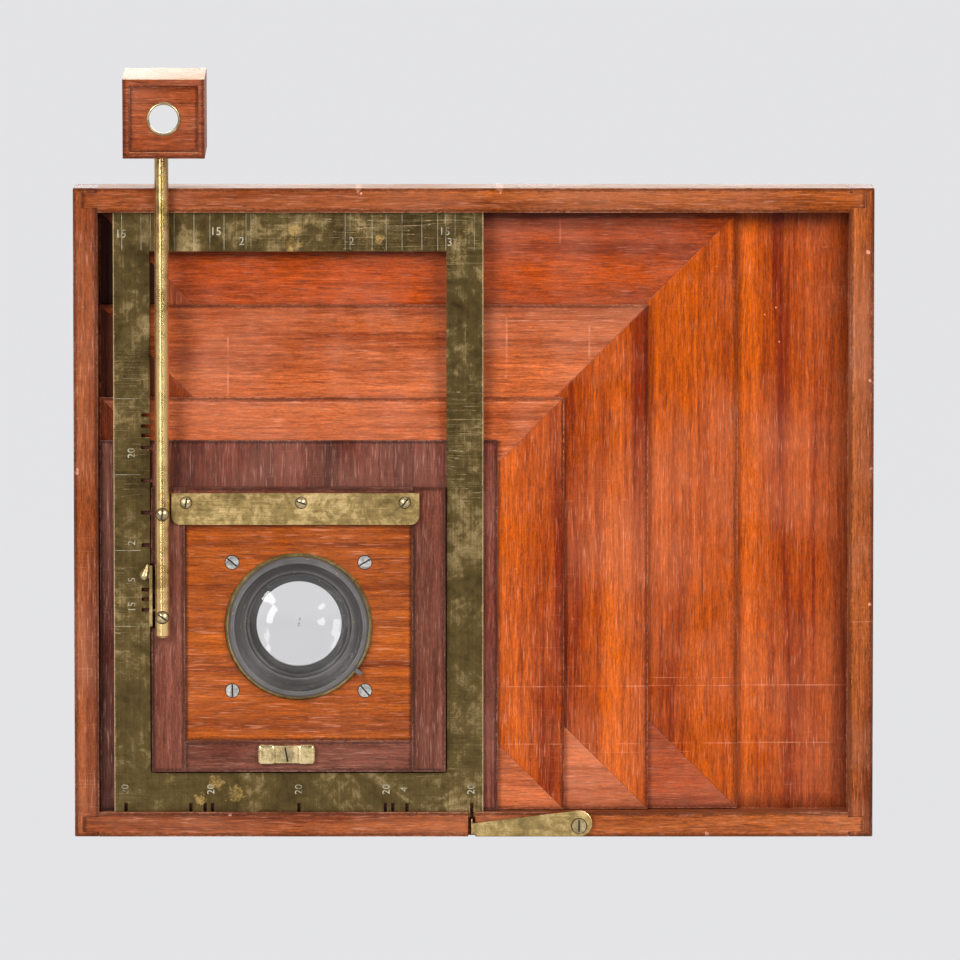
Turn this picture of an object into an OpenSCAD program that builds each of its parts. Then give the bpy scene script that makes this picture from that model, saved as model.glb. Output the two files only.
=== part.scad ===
// Multiplying view camera.
// A mahogany plate camera whose lens steps across and up over one plate, so that many small
// pictures share it. The lens rides on a carrier that rises inside a brass slide plate, the
// plate travels across the front box, and three nested frames keep the light out behind them.
// Millimetres. X runs to the right seen from the front, Y to the back, Z up.
// The origin is the mouth of the tripod bush, in the underside of the bed.
// "Depth" always means the distance behind the front face of the front box.

/* [Plates] */
// Width of the large plate
plate_w = 177.8; // [150:0.1:215]
// Height of the large plate
plate_h = 127; // [105:0.5:150]
// Width of the small plate
small_plate_w = 154.4; // [130:0.1:170]
// Height of the small plate
small_plate_h = 107; // [88:0.5:130]
// Columns of pictures on the large plate
columns = 5; // [3:1:7]
// Rows of pictures on the small plate
rows = 4; // [3:1:6]

/* [Front box] */
// Thickness of the four members of the front box
rim_t = 10; // [8:0.5:14]
// Depth of the front box, front to back
box_d = 30; // [28:1:60]
// Play beside the nested frames at the left
left_play = 0.4; // [0.3:0.1:1]
// Play beside the nested frames at the right
right_play = 1.96; // [0.3:0.1:5]
// Free height left over the carrier's top notch
top_spare = 13.65; // [5:0.05:20]
// How far each rail is tenoned into the stiles
tenon_l = 6.5; // [4:0.5:7]

/* [Brass slide plate] */
// Thickness of the brass slide plate
plate_t = 1.6; // [1.2:0.1:2]
// Depth of its front face
plate_depth = 3; // [2.5:0.1:4]
// Width of its two side bars
bar_w = 15.2; // [12:0.1:18]
// Height of its top and bottom bars
bar_h = 18.4; // [15:0.1:20]
// How far it runs into the grooves of the rails
tongue = 2.2; // [1.5:0.1:2.6]
// Metal left outside the outermost index notches, at least
notch_margin = 4.5; // [4:0.1:8]
// Width of an index notch
notch_w = 1.3; // [1.2:0.1:1.6]
// Depth of the notches in the bottom edge
notch_d = 5.5; // [4:0.5:7]
// Depth of the notches beside the window
side_notch_d = 3.7; // [2.5:0.1:5]

/* [Nested frames] */
// Thickness of the baffle panel and of each nested frame
layer_t = 2; // [1.5:0.1:2.5]
// Gap between one layer and the next
layer_gap = 0.3; // [0.3:0.1:0.5]
// Overlap of stiles that covers each opening
stile_w = 48.4; // [40:0.1:56]
// Reach of the baffle panel beyond the brass plate at each side
baffle_reach = 5.8; // [4:0.1:10]
// Overlap of rails that covers each opening
rail_w = 48.2; // [40:0.1:56]
// Thickness of the fixed frame behind them
fixed_t = 5; // [4:0.5:8]
// Play of the light tunnel in each opening
tunnel_play = 0.5; // [0.3:0.1:1]

/* [Lens carrier] */
// Width of the carrier
carrier_w = 120.6; // [110:0.1:130]
// Reach of the carrier below the lens centre
carrier_below = 59.8; // [52:0.1:62]
// Reach of the carrier above the lens centre
carrier_above = 57.4; // [50:0.1:64]
// How far the carrier stands proud of the brass plate
carrier_proud = 3.3; // [3.2:0.1:4]
// Width of the carrier's stiles
carrier_stile = 13.6; // [12:0.1:15]
// Height of the carrier's rails
carrier_rail = 12.6; // [11:0.1:14]
// Thickness of the lens board
board_t = 4; // [3.6:0.1:4.2]

/* [Lens] */
// Radius of the barrel at the front
barrel_r = 28.9; // [24:0.1:30]
// Gap between the barrel and the hole in the lens board
board_gap = 1.4; // [0.5:0.1:2]
// How far the barrel stands proud of the front box
barrel_proud = 2.8; // [1:0.1:10]
// Thickness of the bell's wall at its mouth
mouth_wall = 2.5; // [1.5:0.1:4]
// How much smaller the tail's radius is than the barrel's
tail_step = 4.9; // [4:0.1:7]
// How much smaller the front glass's radius is than the barrel's
glass_step = 7.3; // [6.5:0.1:9]
// How much smaller the clear way's radius is than the barrel's
clear_step = 11.7; // [11:0.1:14]
// Depth of the tail's end
tail_end = 32; // [28:0.5:40]

/* [Light tunnel] */
// Width of the light tunnel
tunnel_w = 66.6; // [60:0.1:72]
// Height of the light tunnel
tunnel_h = 56.4; // [56:0.1:64]
// Thickness of its walls
tunnel_t = 3.5; // [2:0.1:3.8]
// Depth of its open end
tunnel_end = 45; // [40:1:50]

/* [Finder] */
// Radius of the finder rod
rod_r = 2.9; // [2.5:0.1:3.2]
// Distance of the rod's axis from the carrier's left edge
rod_inset = 4.6; // [4:0.1:6]
// Height of the rod's lower end below the lens centre
rod_below = 4.2; // [2:0.1:10]
// Clear height between the front box and the finder
finder_lift = 14.7; // [8:0.1:25]
// How far the finder sits to the right of its rod's axis
finder_side = 1.5; // [0:0.1:5]
// Width of the finder box
finder_w = 33.5; // [28:0.5:40]
// Height of the finder box
finder_h = 32.6; // [28:0.5:40]
// Depth of the finder box
finder_d = 33; // [26:0.5:40]
// Thickness of the finder's walls
finder_t = 2.6; // [2:0.1:3.5]
// Downward tilt of the finder towards the sitter
finder_tilt = 5.5; // [0:0.5:8]
// Outer radius of the eyelet
eyelet_r = 7.1; // [6:0.1:9]
// Sight hole radius of the eyelet
sight_r = 5.9; // [4:0.1:5.9]

/* [Brass fittings] */
// Width of the cleat over the lens board
cleat_w = 101.6; // [90:0.1:106]
// Height of the cleat
cleat_h = 13; // [11:0.1:14]
// Thickness of sheet fittings
sheet_t = 1.6; // [1.2:0.1:2]
// Length of the turn button
button_l = 23.5; // [20:0.5:26]
// Width of the turn button
button_w = 8.2; // [7:0.1:10]
// Distance from the notch line to the latch pivot
latch_reach = 44.1; // [36:0.1:55]
// Thickness of the latch blade that enters a notch
blade_t = 0.5; // [0.4:0.1:0.6]
// Radial play of pivots
pivot_play = 0.05; // [0.02:0.01:0.1]

/* [Rear body] */
// Thickness of the shell's and the rear box's walls
wall_t = 8; // [6:0.5:10]
// How far the shell is set in from the front box's sides
shell_inset = 6; // [4:0.5:8]
// Depth of the shell's open end
shell_end = 125; // [110:1:150]
// Thickness of the bed
bed_t = 12; // [11:0.5:16]
// Depth of the bed's rear end
bed_end = 205; // [190:1:240]
// Depth of the rear box's front edge
rear_front = 60; // [50:1:70]
// Depth of the plate plane at rest
plate_plane = 150; // [140:1:170]
// Travel of the rear box for focusing
focus_travel = 50; // [30:1:50]
// Overlap of the plate frame over the plate's edge
plate_lap = 3; // [2:0.5:5]
// Width of the ground glass frame's members
glass_rail = 20; // [16:0.5:26]
// Thickness of the ground glass frame
glass_frame_t = 9.6; // [8:0.1:12]
// Thickness of the ground glass
ground_glass_t = 2.2; // [1.5:0.1:3]
// Running gap around sliding wood
slide_gap = 0.4; // [0.3:0.1:0.8]

/* [Tripod bush] */
// Radius of the tripod thread
bush_bore_r = 4.76; // [3:0.01:5]
// Distance of the bush behind the front face
bush_depth = 100; // [60:1:140]

/* [Hidden] */
$fn = 64;
tiny = 0.01;

// Index travel: from the first to the last column, and from the first to the last row
traverse = plate_w*(columns - 1)/columns;
rise = small_plate_h*(rows - 1)/rows;

// Sizes of the box, worked out from the panels that travel in it
window_gap = 0.4;
slide_half = max(carrier_w/2 + window_gap + bar_w, traverse/2 + notch_margin);
baffle_w = max(tunnel_w + 2*stile_w, 2*(slide_half + baffle_reach));
baffle_h = tunnel_h + 2*rail_w;
free_x = traverse + right_play;
free_z = rise + top_spare;
inner_w = left_play + baffle_w + free_x;
inner_h = layer_gap + baffle_h + free_z;
box_w = inner_w + 2*rim_t;
box_h = inner_h + 2*rim_t;
front_y = -bush_depth;

// Lens centre at rest: lowered, at the first column
lens_x = -inner_w/2 + left_play + baffle_w/2;
lens_z = rim_t + layer_gap + baffle_h/2;
// The blade meets the plate's last notch at rest, and its first notch at the far end
notch_x = lens_x + traverse/2;
// The tooth meets the lowest side notch at rest; the notches centre on the box
side_notch_z = box_h/2;
tooth_z = side_notch_z - rise/2;
// Centre of the plate
plate_x = lens_x + traverse/2;
plate_z = lens_z + rise/2;

// Depths of the layers, front to back
carrier_front = plate_depth - carrier_proud;
plate_back = plate_depth + plate_t;
baffle_depth = plate_back + layer_gap;
layer_pitch = layer_t + layer_gap;
function layer_depth(i) = baffle_depth + (4 - i)*layer_pitch;
fixed_depth = layer_depth(0);
board_front = baffle_depth - board_t;

// Share of the lens travel that each nested frame makes, frame 1 at the back
share_x = [0, 0.315, 0.571, 0.81];
share_z = [0, 0, 0.409, 0.813];

// Carrier and slide plate
carrier_x0 = lens_x - carrier_w/2;
carrier_x1 = lens_x + carrier_w/2;
carrier_z0 = lens_z - carrier_below;
carrier_z1 = lens_z + carrier_above;
window_x0 = carrier_x0 - window_gap;
window_x1 = carrier_x1 + window_gap;
slide_x0 = lens_x - slide_half;
slide_x1 = lens_x + slide_half;
slide_z0 = rim_t - tongue;
slide_z1 = box_h - rim_t + tongue;
groove_gap = 0.4;

// Finder
rod_x = carrier_x0 + rod_inset;
rod_depth = carrier_front - rod_r;
finder_z0 = box_h + finder_lift;
rod_into_wall = 1.8;
rod_nose = 1;
rod_screw_z = [lens_z + 4.4, lens_z + 46.8];

// Wood screws: head radius, head thickness, shank radius, shank length
board_screw = [2.7, 1, 1.3, 2.6];
board_screw_dx = 54.5;
board_screw_dz = 52.9;
cleat_screw = [2.2, 1, 1.1, 3.6];
rod_screw = [2.45, 1.1, 1.2, 3.4];
button_screw = [3.05, 1.2, 1.6, 4];
latch_screw_size = [2.85, 1.3, 1.9, 6];
pivot_gap = 0.1;

// Cleat, screwed to the top rail and lapping the board's top edge
cleat_z0 = carrier_z1 - carrier_rail - 2.6;
cleat_x0 = carrier_x0 + 8.3;
cleat_corner = 3.7;
cleat_screw_x = [cleat_x0 + 6, cleat_x0 + 53.2, cleat_x0 + cleat_w - 5.9];
cleat_screw_z = cleat_z0 + 9.1;

// Turn button below the lens board: a flat middle between two raised pads
button_x = lens_x - 5;
button_z = carrier_z0 + 7.3;
button_t = 2.5;
button_mid_t = 1.6;
button_mid_w = 8.9;

// Catch on the carrier's left edge: a leaf spring held at its top
catch_pivot_z = tooth_z + 16.6;
spring_t = 1.2;
spring_x0 = carrier_x0 - 0.9;
spring_z0 = tooth_z - 6.4;
spring_z1 = catch_pivot_z + 2;
spring_back = plate_depth - 0.4;
tooth_t = 0.5;
tooth_l = 1.6;
pocket_w = 2.4;
knob_r = 2;
knob_x = spring_x0 - knob_r - 0.05;
knob_z = catch_pivot_z - 2.4;
knob_l = 7;

// Latch under the front edge: pivot, tip and blade
latch_x = notch_x + latch_reach;
latch_z = 4.7;
washer_t = 0.6;
slit_w = 3;
blade_top = slide_z0 - 0.5;

// Shell and rear box
shell_x = box_w/2 - shell_inset;
shell_z1 = box_h - rim_t + 2;
rear_x = shell_x - wall_t - slide_gap;
rear_z0 = bed_t + slide_gap;
rear_z1 = shell_z1 - wall_t - slide_gap;
plate_frame_t = 8;
rear_end = plate_plane - plate_frame_t;
clamp_y = rear_front + 12;
clamp_z = box_h/2 + 20;
clamp_stem_r = 3;
clamp_slot_h = 2*(clamp_stem_r + slide_gap);

// Ground glass frame and its hinges
glass_w = plate_w + 6;
glass_h = plate_h + 6;
frame_open_w = plate_w - 2*plate_lap;
frame_open_h = plate_h - 2*plate_lap;
back_w = frame_open_w + 2*glass_rail;
back_h = frame_open_h + 2*glass_rail;
back_front = plate_plane + layer_gap;
hinge_r = 2.3;
hinge_x = plate_x - back_w/2 - 2.9;
hinge_depth = plate_plane + 2.9;
hinge_pin_r = 1.2;
hinge_third = 9;
hinge_gap = 0.3;
hinge_offsets = [-0.3*plate_h, 0.3*plate_h];
back_button_x = plate_x + back_w/2 + 8;
back_button_z = plate_z;

// ---- Helpers ----

// A block given by its lowest and highest x, depth and z
module block(x0, x1, d0, d1, z0, z1) {
  translate([x0, front_y + d0, z0]) cube([x1 - x0, d1 - d0, z1 - z0]);
}

// A plate between two depths whose outline is drawn in X and Z
module plate(d0, d1) {
  translate([0, front_y + d1, 0]) rotate([90, 0, 0]) linear_extrude(d1 - d0) children();
}

// A cylinder that runs from front to back
module rod_y(x, z, d0, d1, r) {
  translate([x, front_y + d0, z]) rotate([-90, 0, 0]) cylinder(h = d1 - d0, r = r);
}

// A turned piece about the lens axis: the profile's x is radius, its y is depth
module turned(x, z) {
  translate([x, front_y, z]) rotate([-90, 0, 0]) rotate_extrude($fn = 96) children();
}

// A slotted screw whose head sits on the face at the given depth
module screw(x, z, face, size, slot_angle, dome = false) {
  head_r = size[0];
  head_t = size[1];
  cap_r = (head_r*head_r + head_t*head_t)/(2*head_t);
  difference() {
    union() {
      if (dome) {
        intersection() {
          rod_y(x, z, face - head_t, face, head_r);
          translate([x, front_y + face - head_t + cap_r, z]) sphere(r = cap_r);
        }
      } else {
        rod_y(x, z, face - head_t, face, head_r);
      }
      rod_y(x, z, face - tiny, face + size[3], size[2]);
    }
    translate([x, front_y + face - head_t, z]) rotate([0, slot_angle, 0])
      cube([2*head_r + 1, head_t, 0.7], center = true);
  }
}

// The pilot hole that a screw's shank sits in
module screw_hole(x, z, face, size) {
  rod_y(x, z, face - 1, face + size[3] + 0.2, size[2] + pivot_play);
}

// Depth that a spherical face of the given radius has fallen back at a distance from its centre
function sag(sphere_r, r) = sphere_r - sqrt(sphere_r*sphere_r - r*r);

// Offsets of n pictures across a plate, from its centre
function offsets(w, n) = [for (i = [0:n - 1]) (i - (n - 1)/2)*w/n];

// ---- Front box ----

// The joint where a rail enters a stile: side is -1 or 1, z0 the rail's lower edge
module tenon(side, z0) {
  x0 = side > 0 ? inner_w/2 - tiny : -inner_w/2 - tenon_l;
  block(x0, x0 + tenon_l + tiny, 0, box_d/2, z0 + 0.2*rim_t, z0 + 0.8*rim_t);
}

module front_stile(side) {
  x0 = side > 0 ? inner_w/2 : -inner_w/2 - rim_t;
  difference() {
    block(x0, x0 + rim_t, 0, box_d, 0, box_h);
    tenon(side, 0);
    tenon(side, box_h - rim_t);
  }
}

module front_left_stile() {
  color("#8a3d1e") front_stile(-1);
}

module front_right_stile() {
  color("#8a3d1e") front_stile(1);
}

// A rail with the groove that the brass plate's edge slides in
module front_rail(z0, groove_z0) {
  difference() {
    union() {
      block(-inner_w/2, inner_w/2, 0, box_d, z0, z0 + rim_t);
      tenon(-1, z0);
      tenon(1, z0);
    }
    block(-inner_w/2 - tiny, inner_w/2 + tiny, plate_depth - groove_gap,
          plate_back + groove_gap - 0.1, groove_z0, groove_z0 + tongue + groove_gap + tiny);
  }
}

// Groove of a frame's runner in the top rail
module runner_groove(i) {
  block(-inner_w/2, inner_w/2, layer_depth(i) - 0.1, layer_depth(i) + layer_t + 0.1,
        box_h - rim_t - tiny, box_h - rim_t + 3);
}

module front_top_rail() {
  color("#8f4422") difference() {
    front_rail(box_h - rim_t, box_h - rim_t - tiny);
    runner_groove(2);
    runner_groove(3);
  }
}

module front_bottom_rail() {
  color("#8f4422") difference() {
    front_rail(0, rim_t - tongue - groove_gap);
    block(notch_x - slit_w/2, notch_x + slit_w/2, -tiny, plate_back + groove_gap, -tiny,
          rim_t + tiny);
    screw_hole(latch_x, latch_z, 0, latch_screw_size);
  }
}

// ---- Fixed frame and nested frames ----
// Frame 0 is fixed; frames 1 to 3 travel. Each opening leaves room for the light tunnel
// and for the travel that the layers in front of it make beyond it.

function frame_right(i) = lens_x + baffle_w/2 + (1 - share_x[i])*free_x;
function frame_top(i) = lens_z + baffle_h/2 + (1 - share_z[i])*free_z;
frame_left = lens_x - baffle_w/2;
frame_bottom = lens_z - baffle_h/2;
open_left = lens_x - tunnel_w/2 - tunnel_play;
open_bottom = lens_z - tunnel_h/2 - tunnel_play;
function open_right(i) = lens_x + tunnel_w/2 + (1 - share_x[i])*free_x + tunnel_play;
function open_top(i) = lens_z + tunnel_h/2 + (1 - share_z[i])*free_z + tunnel_play;
frame_1_top = frame_top(1) - layer_gap;
function outer_top(i) = i == 1 ? frame_1_top : frame_top(i);

// Mitred stiles of a frame, grain upright
module mitred_stiles(i) {
  d0 = layer_depth(i);
  top = outer_top(i);
  plate(d0, d0 + layer_t) {
    polygon([[frame_left, frame_bottom], [open_left, open_bottom], [open_left, open_top(i)],
             [frame_left, top]]);
    polygon([[frame_right(i), frame_bottom], [frame_right(i), top],
             [open_right(i), open_top(i)], [open_right(i), open_bottom]]);
  }
}

// Mitred rails of a frame, grain level
module mitred_rails(i) {
  d0 = layer_depth(i);
  top = outer_top(i);
  plate(d0, d0 + layer_t) {
    polygon([[frame_left, frame_bottom], [frame_right(i), frame_bottom],
             [open_right(i), open_bottom], [open_left, open_bottom]]);
    polygon([[frame_left, top], [open_left, open_top(i)], [open_right(i), open_top(i)],
             [frame_right(i), top]]);
  }
}

module fixed_frame_stiles() {
  color("#a8502a") {
    block(-inner_w/2, open_left, fixed_depth, fixed_depth + fixed_t, rim_t, box_h - rim_t);
    block(open_right(0), inner_w/2, fixed_depth, fixed_depth + fixed_t, rim_t, box_h - rim_t);
  }
}

module fixed_frame_rails() {
  color("#a8502a") {
    block(open_left, open_right(0), fixed_depth, fixed_depth + fixed_t, rim_t, open_bottom);
    block(open_left, open_right(0), fixed_depth, fixed_depth + fixed_t, open_top(0),
          box_h - rim_t);
  }
}

module frame_1_stiles() {
  color("#b04a20") mitred_stiles(1);
}

module frame_1_rails() {
  color("#8c3420") mitred_rails(1);
}

module frame_2_stiles() {
  color("#b04a20") mitred_stiles(2);
}

module frame_2_rails() {
  color("#8c3420") mitred_rails(2);
}

module frame_3_stiles() {
  color("#b04a20") mitred_stiles(3);
}

module frame_3_rails() {
  color("#8c3420") mitred_rails(3);
}

// A slip in the top rail's groove that travels sideways with its frame
module runner(i) {
  room = inner_w - share_x[i]*traverse;
  block(-inner_w/2 + 1, -inner_w/2 + 0.45*room, layer_depth(i) + 0.2,
        layer_depth(i) + layer_t - 0.2, box_h - rim_t + 0.3, box_h - rim_t + 2.7);
}

module frame_2_runner() {
  color("#5a3a28") runner(2);
}

module frame_3_runner() {
  color("#5a3a28") runner(3);
}

// ---- Brass slide plate ----

module slide_plate() {
  window_top = slide_z1 - bar_h;
  window_bottom = slide_z0 + bar_h;
  color("#8a7a45") difference() {
    block(slide_x0, slide_x1, plate_depth, plate_back, slide_z0, slide_z1);
    block(window_x0, window_x1, plate_depth - 1, plate_back + 1,
          window_bottom, window_top);
    for (x = concat(offsets(plate_w, columns), offsets(plate_w, 2), offsets(small_plate_w, 2)))
      block(lens_x + x - notch_w/2, lens_x + x + notch_w/2, plate_depth - 1, plate_back + 1,
            slide_z0 - 1, slide_z0 + notch_d);
    for (z = concat(offsets(small_plate_h, rows), offsets(small_plate_h, 2),
                    offsets(small_plate_h, 3), offsets(plate_h, 2)))
      block(window_x0 - side_notch_d, window_x0 + 1, plate_depth - 1,
            plate_back + 1, side_notch_z + z - notch_w/2, side_notch_z + z + notch_w/2);
  }
}

// ---- Lens carrier ----

module baffle_panel() {
  color("#6a3024") difference() {
    block(frame_left, frame_left + baffle_w, baffle_depth, baffle_depth + layer_t,
          frame_bottom, frame_bottom + baffle_h);
    rod_y(lens_x, lens_z, baffle_depth - 1, baffle_depth + layer_t + 1, barrel_r + 0.3);
  }
}

module light_tunnel() {
  d0 = baffle_depth + layer_t;
  z0 = lens_z - tunnel_h/2;
  z1 = lens_z + tunnel_h/2;
  color("#3a2018") for (side = [-1, 1]) {
    x_wall = side < 0 ? lens_x - tunnel_w/2 : lens_x + tunnel_w/2 - tunnel_t;
    block(x_wall, x_wall + tunnel_t, d0, tunnel_end, z0 + tunnel_t, z1 - tunnel_t);
    z_wall = side < 0 ? z0 : z1 - tunnel_t;
    block(lens_x - tunnel_w/2, lens_x + tunnel_w/2, d0, tunnel_end, z_wall,
          z_wall + tunnel_t);
  }
}

// The carrier's left stile, with the pocket that the catch spring moves in
module carrier_left_stile() {
  color("#60281c") difference() {
    block(carrier_x0, carrier_x0 + carrier_stile, carrier_front, baffle_depth,
          carrier_z0, carrier_z1);
    block(carrier_x0 - 1, carrier_x0 + pocket_w, carrier_front - 1, baffle_depth - tiny,
          spring_z0 - 1, spring_z1 + 1);
    for (z = rod_screw_z) screw_hole(rod_x, z, carrier_front, rod_screw);
    for (x = cleat_screw_x) screw_hole(x, cleat_screw_z, carrier_front, cleat_screw);
  }
}

module carrier_right_stile() {
  color("#60281c") difference() {
    block(carrier_x1 - carrier_stile, carrier_x1, carrier_front, baffle_depth, carrier_z0,
          carrier_z1);
    for (x = cleat_screw_x) screw_hole(x, cleat_screw_z, carrier_front, cleat_screw);
  }
}

module carrier_top_rail() {
  color("#60281c") difference() {
    block(carrier_x0 + carrier_stile, carrier_x1 - carrier_stile, carrier_front,
          baffle_depth, carrier_z1 - carrier_rail, carrier_z1);
    for (x = cleat_screw_x) screw_hole(x, cleat_screw_z, carrier_front, cleat_screw);
  }
}

module carrier_bottom_rail() {
  color("#60281c") difference() {
    block(carrier_x0 + carrier_stile, carrier_x1 - carrier_stile, carrier_front,
          baffle_depth, carrier_z0, carrier_z0 + carrier_rail);
    screw_hole(button_x, button_z, carrier_front, button_screw);
  }
}

// ---- Lens board and lens ----

flange_r = sqrt(pow(board_screw_dx/2, 2) + pow(board_screw_dz/2, 2)) + 3.4;
flange_t = 1.8;
flange_front = baffle_depth - flange_t;
function board_screw_spots() = [for (i = [-1, 1]) for (k = [-1, 1])
  [lens_x + i*board_screw_dx/2, lens_z + k*board_screw_dz/2]];

module lens_board() {
  color("#b5582c") difference() {
    block(carrier_x0 + carrier_stile, carrier_x1 - carrier_stile, board_front, baffle_depth,
          carrier_z0 + carrier_rail, carrier_z1 - carrier_rail);
    rod_y(lens_x, lens_z, board_front - 1, baffle_depth + 1, barrel_r + board_gap);
    rod_y(lens_x, lens_z, flange_front, baffle_depth + 1, flange_r + pivot_play);
    for (p = board_screw_spots()) {
      rod_y(p[0], p[1], board_front - 1, board_front + board_screw[1] - 0.1,
            board_screw[0] + pivot_play);
      rod_y(p[0], p[1], board_front, baffle_depth + 1, board_screw[2] + pivot_play);
    }
  }
}

module lens_board_screws() {
  slots = [90, 40, 50, -30];
  color("#b9b7ae") for (i = [0:3]) {
    p = board_screw_spots()[i];
    screw(p[0], p[1], board_front + board_screw[1] - 0.1, board_screw, slots[i]);
  }
}

// The flange behind the board, which the barrel is screwed into
module lens_flange() {
  color("#8a7440") difference() {
    rod_y(lens_x, lens_z, flange_front, baffle_depth, flange_r);
    rod_y(lens_x, lens_z, flange_front - 1, baffle_depth + 1, barrel_r + pivot_play);
    for (p = board_screw_spots())
      rod_y(p[0], p[1], flange_front - 1, baffle_depth + 1, board_screw[2] + pivot_play);
  }
}

mouth_r = barrel_r - mouth_wall;
tail_r = min(barrel_r - tail_step, tunnel_h/2 - tunnel_t - 0.7);
glass_r = barrel_r - glass_step;
clear_r = barrel_r - clear_step;
rear_lap = 3.2;
rear_seat = tail_end - 4.5;
glass_front = 8;
glass_t = 6;
glass_bulge = 2.4;
glass_front_r = 58;
ring_w = 1.2;
bell_end = glass_front - 1.6;
seat_depth = glass_front + glass_t;
step_depth = baffle_depth + layer_t - 0.4;

module lens_barrel() {
  lip = 0.8;
  color("#2a2725") {
    turned(lens_x, lens_z) polygon([
      [mouth_r, -barrel_proud], [barrel_r - lip, -barrel_proud],
      [barrel_r, -barrel_proud + lip], [barrel_r, step_depth], [tail_r, step_depth],
      [tail_r, tail_end], [clear_r + rear_lap, tail_end], [clear_r + rear_lap, rear_seat],
      [clear_r, rear_seat], [clear_r, seat_depth], [glass_r, seat_depth],
      [glass_r, bell_end], [glass_r + 1.2, bell_end], [mouth_r - 2.4, bell_end - 3.6],
      [mouth_r - 1.1, bell_end - 6.4], [mouth_r - 0.4, -barrel_proud + 1.6]]);
    // The lug at the lower right that stops the barrel when it is screwed home
    translate([lens_x, front_y, lens_z]) rotate([0, 37, 0])
      translate([barrel_r - 0.6, -1.4, -0.9]) cube([4, 2, 1.8]);
  }
}

module retaining_ring() {
  ring_back = glass_front - glass_bulge + sag(glass_front_r, glass_r - ring_w) - 0.05;
  color("#3a3632") turned(lens_x, lens_z) polygon([
    [glass_r - ring_w, ring_back - 1.6], [glass_r - 0.3, ring_back - 2.4],
    [glass_r - 0.05, ring_back - 1.9], [glass_r - 0.05, ring_back], [glass_r - ring_w, ring_back]]);
}

// A turned glass between two spherical faces
module glass(r, d0, d1, front_radius, back_radius) {
  steps = 8;
  turned(lens_x, lens_z) polygon(concat(
    [for (i = [0:steps]) [r*i/steps, d0 + sag(front_radius, r*i/steps)]],
    [for (i = [steps:-1:0]) [r*i/steps, d1 - sag(back_radius, r*i/steps)]]));
}

module front_glass() {
  color("#dfe8ea") glass(glass_r - 0.05, glass_front - glass_bulge, seat_depth, glass_front_r, 400);
}

module rear_glass() {
  color("#dfe8ea") glass(clear_r + rear_lap - 0.05, rear_seat, tail_end - 0.5, 400, 120);
}

// ---- Cleat and turn button ----

module cleat() {
  z1 = cleat_z0 + cleat_h;
  x1 = cleat_x0 + cleat_w;
  c = cleat_corner;
  color("#b59a58") difference() {
    plate(carrier_front - sheet_t, carrier_front) {
      polygon([[cleat_x0, z1], [cleat_x0, cleat_z0 + c], [cleat_x0 + c, cleat_z0],
               [x1 - c, cleat_z0], [x1, cleat_z0 + c], [x1, z1]]);
      translate([cleat_x0 + c, cleat_z0 + c]) circle(r = c);
      translate([x1 - c, cleat_z0 + c]) circle(r = c);
    }
    for (x = cleat_screw_x)
      screw_hole(x, cleat_screw_z, carrier_front - sheet_t, cleat_screw);
  }
}

module cleat_screws() {
  slots = [100, 20, 130];
  color("#a88c4c") for (i = [0:2])
    screw(cleat_screw_x[i], cleat_screw_z, carrier_front - sheet_t, cleat_screw, slots[i], true);
}

// A raised pad with rounded edges on one arm of the turn button
module button_pad(x0, x1) {
  r = 1.5;
  face = carrier_front - pivot_gap;
  squash = 0.8;
  hull() {
    for (x = [x0 + r, x1 - r]) for (z = [-1, 1])
      translate([x, front_y + face - button_t + squash*r, button_z + z*(button_w/2 - r)])
        scale([1, squash, 1]) sphere(r = r, $fn = 32);
    block(x0 + 0.3, x1 - 0.3, face - 0.5, face, button_z - button_w/2 + 0.3,
          button_z + button_w/2 - 0.3);
  }
}

module turn_button() {
  face = carrier_front - pivot_gap;
  color("#c9a860") difference() {
    union() {
      block(button_x - button_mid_w/2 - 1, button_x + button_mid_w/2 + 1, face - button_mid_t,
            face, button_z - button_w/2 + 0.5, button_z + button_w/2 - 0.5);
      button_pad(button_x - button_l/2, button_x - button_mid_w/2);
      button_pad(button_x + button_mid_w/2, button_x + button_l/2);
    }
    rod_y(button_x, button_z, face - button_t - 1, face + 1, button_screw[2] + pivot_play);
  }
}

module turn_button_screw() {
  color("#b59a58") screw(button_x, button_z, carrier_front - 2*pivot_gap - button_mid_t,
                         button_screw + [0, 0, 0, button_mid_t], 80);
}

// ---- Finder ----

module finder_rod() {
  color("#c2a04e") difference() {
    translate([rod_x, front_y + rod_depth, lens_z - rod_below]) {
      cylinder(h = rod_nose, r1 = rod_r - rod_nose, r2 = rod_r);
      translate([0, 0, rod_nose])
        cylinder(h = finder_z0 + rod_into_wall - lens_z + rod_below - rod_nose, r = rod_r);
    }
    for (z = rod_screw_z)
      rod_y(rod_x, z, rod_depth - rod_r - 1, carrier_front + 1, rod_screw[2] + pivot_play);
    for (z = rod_screw_z)
      rod_y(rod_x, z, rod_depth - rod_r - 1, rod_depth - rod_r + 0.5,
            rod_screw[0] + pivot_play);
  }
}

module finder_rod_screws() {
  color("#b59a58") for (i = [0:1])
    screw(rod_x, rod_screw_z[i], rod_depth - rod_r + 0.5, rod_screw + [0, 0, 0, 2*rod_r - 0.5],
          i == 0 ? 35 : 95, true);
}

// Places the finder's own frame, whose origin is the middle of its underside
module at_finder() {
  translate([rod_x + finder_side, front_y + rod_depth, finder_z0])
    rotate([finder_tilt, 0, 0]) children();
}

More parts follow.
